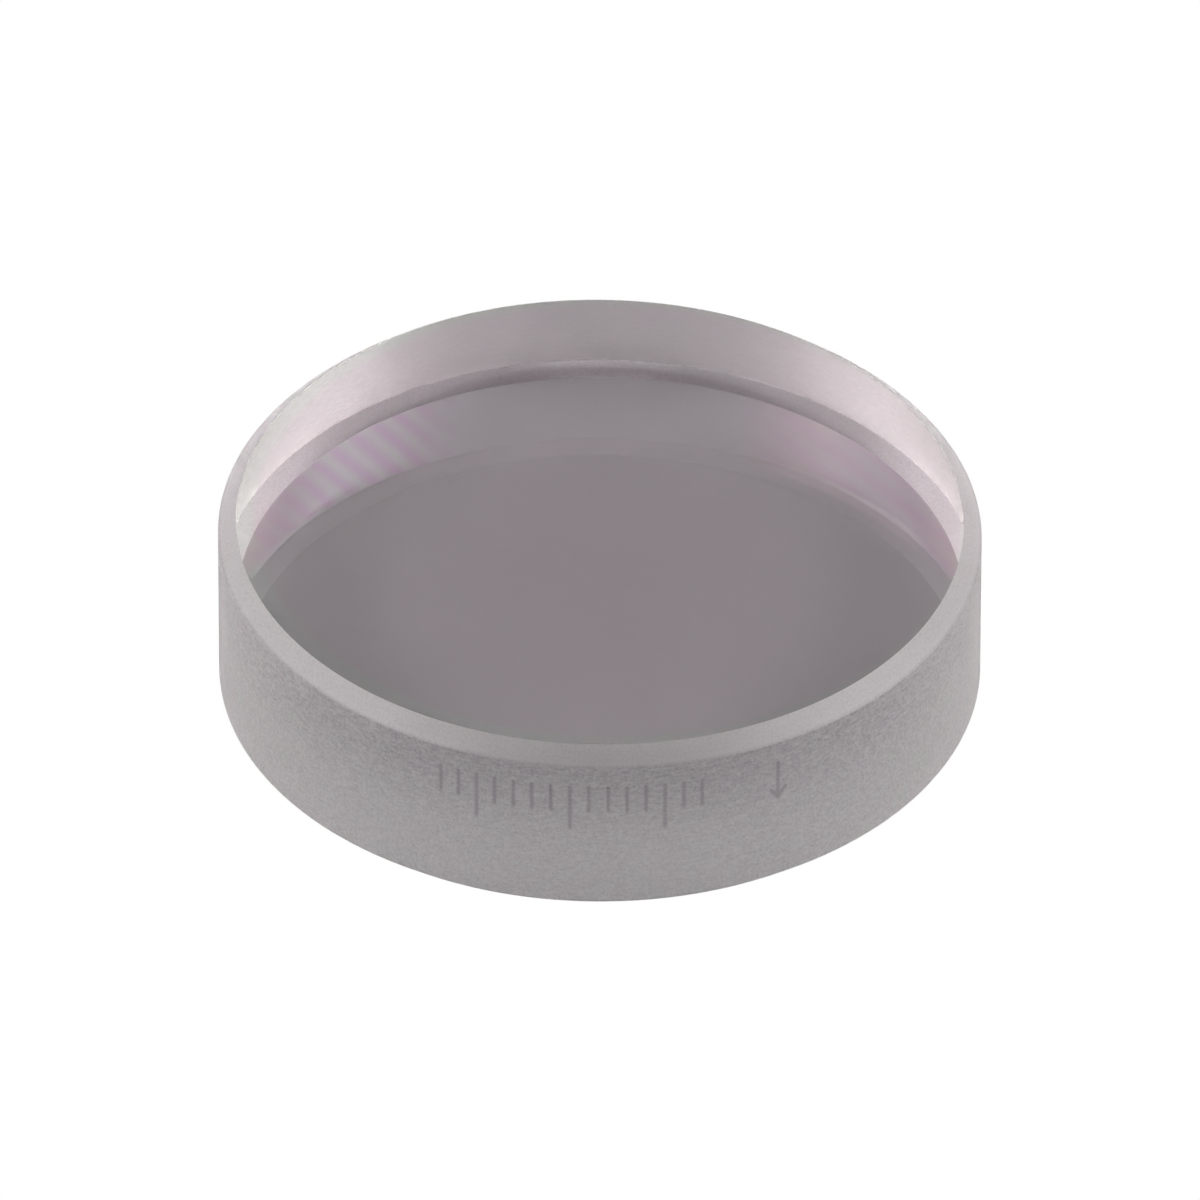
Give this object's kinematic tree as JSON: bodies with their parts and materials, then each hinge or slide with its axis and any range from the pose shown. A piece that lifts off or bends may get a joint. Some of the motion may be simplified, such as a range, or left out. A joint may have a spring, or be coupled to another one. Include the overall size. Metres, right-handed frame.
{
  "type": "beam sampler",
  "caption": "Round wedged glass plate with polished faces and a ground, bevelled edge. Reflects a small sample of a light beam that passes through it.",
  "frame": {"origin": "centre of the lower polished face, on the axis of the ground edge", "axes": "+Z along the axis of the ground edge, from the square lower face towards the leaning upper face; +X towards the thin side of the wedge; -Y towards the side of the edge that carries the etched marks"},
  "size_m": [0.0126, 0.0126, 0.0034],
  "materials": {
    "fused_silica": "clear polished faces with a thin coating on one of them; fine-ground, matt edge and bevels"
  },
  "bodies": {
    "root": {"wedged_plate": "fused_silica"}
  },
  "joints": []
}
